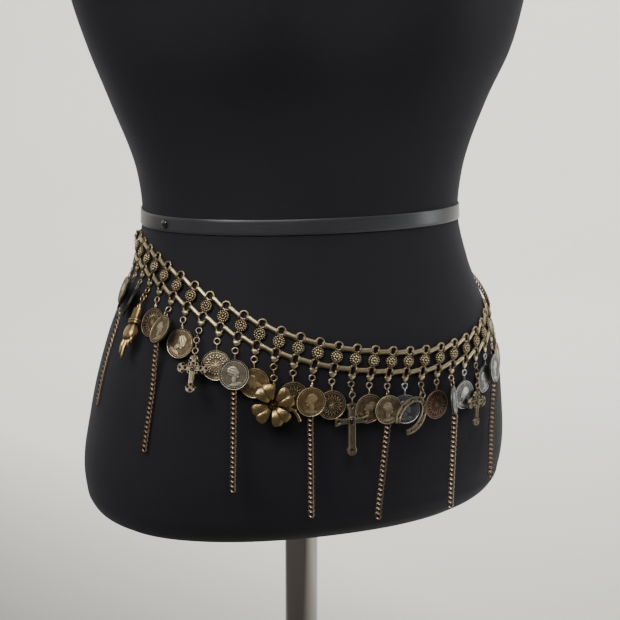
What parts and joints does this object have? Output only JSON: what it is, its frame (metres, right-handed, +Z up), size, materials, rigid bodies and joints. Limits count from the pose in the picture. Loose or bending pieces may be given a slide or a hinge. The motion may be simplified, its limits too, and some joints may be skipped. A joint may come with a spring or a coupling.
{
  "type": "coin and charm chain belt on a limbless dress form",
  "caption": "Antique bronze rosette chain belt hung with coins, charms and curb chains, low on a black dress form with a waist tape, pole and round base.",
  "frame": {"origin": "middle of the base's underside, on the floor", "axes": "+Z up along the pole, -Y the way the form faces, +X the form's left side"},
  "size_m": [0.4058, 0.3, 1.0511],
  "materials": {
    "jersey": "matt black jersey stretched over the form",
    "satin": "black satin tape with a soft sheen",
    "chrome": "polished tube",
    "steel": "satin metal",
    "bronze": "antique bronze plate, dark in the hollows",
    "dark_bronze": "dark antique bronze",
    "coin_bronze": "worn antique bronze coin"
  },
  "bodies": {
    "root": {"base": "steel", "pole": "chrome", "socket": "steel", "torso": "jersey", "neck_cap": "satin", "waist_tape": "satin", "tape_stud": "satin", "band_01": "bronze", "band_02": "bronze", "band_03": "bronze", "band_04": "bronze", "band_05": "bronze", "band_06": "bronze", "band_07": "bronze", "band_08": "bronze", "band_09": "bronze", "coin_chain_02": "dark_bronze", "coin_chain_06": "dark_bronze", "coin_chain_10": "dark_bronze", "coin_chain_14": "dark_bronze", "coin_chain_18": "dark_bronze", "coin_chain_22": "dark_bronze", "coin_chain_26": "dark_bronze", "coin_01": "coin_bronze", "coin_03": "coin_bronze", "coin_05": "coin_bronze", "coin_07": "coin_bronze", "coin_09": "coin_bronze", "coin_11": "coin_bronze", "coin_13": "coin_bronze", "coin_15": "coin_bronze", "coin_17": "coin_bronze", "coin_19": "coin_bronze", "coin_21": "coin_bronze", "coin_23": "coin_bronze", "coin_25": "coin_bronze", "coin_27": "coin_bronze", "back_chain": "dark_bronze", "hook": "bronze"},
    "hand_04_swing": {"hand_04": "bronze"},
    "ornate_cross_08_swing": {"ornate_cross_08": "bronze"},
    "clover_12_swing": {"clover_12": "bronze"},
    "stone_cross_16_swing": {"stone_cross_16": "bronze"},
    "horseshoe_20_swing": {"horseshoe_20": "bronze"},
    "ornate_cross_24_swing": {"ornate_cross_24": "bronze"}
  },
  "joints": [
    {"name": "hand_04_hinge", "type": "hinge", "parent": "root", "child": "hand_04_swing", "pos_m": [-0.13972, -0.03416, 0.51904], "axis": [-0.2847, 0.9586, 0], "range_deg": [0, 45]},
    {"name": "ornate_cross_08_hinge", "type": "hinge", "parent": "root", "child": "ornate_cross_08_swing", "pos_m": [-0.1144, -0.08732, 0.49571], "axis": [-0.7775, 0.6289, 0], "range_deg": [0, 45]},
    {"name": "clover_12_hinge", "type": "hinge", "parent": "root", "child": "clover_12_swing", "pos_m": [-0.06553, -0.1179, 0.47018], "axis": [-0.9644, 0.2645, 0], "range_deg": [0, 45]},
    {"name": "stone_cross_16_hinge", "type": "hinge", "parent": "root", "child": "stone_cross_16_swing", "pos_m": [-0.00525, -0.12568, 0.45327], "axis": [-0.9999, 0.0131, 0], "range_deg": [0, 45]},
    {"name": "horseshoe_20_hinge", "type": "hinge", "parent": "root", "child": "horseshoe_20_swing", "pos_m": [0.05641, -0.1196, 0.4461], "axis": [-0.9792, -0.2028, 0], "range_deg": [0, 45]},
    {"name": "ornate_cross_24_hinge", "type": "hinge", "parent": "root", "child": "ornate_cross_24_swing", "pos_m": [0.11483, -0.09745, 0.45198], "axis": [-0.853, -0.5219, 0], "range_deg": [0, 45]}
  ]
}
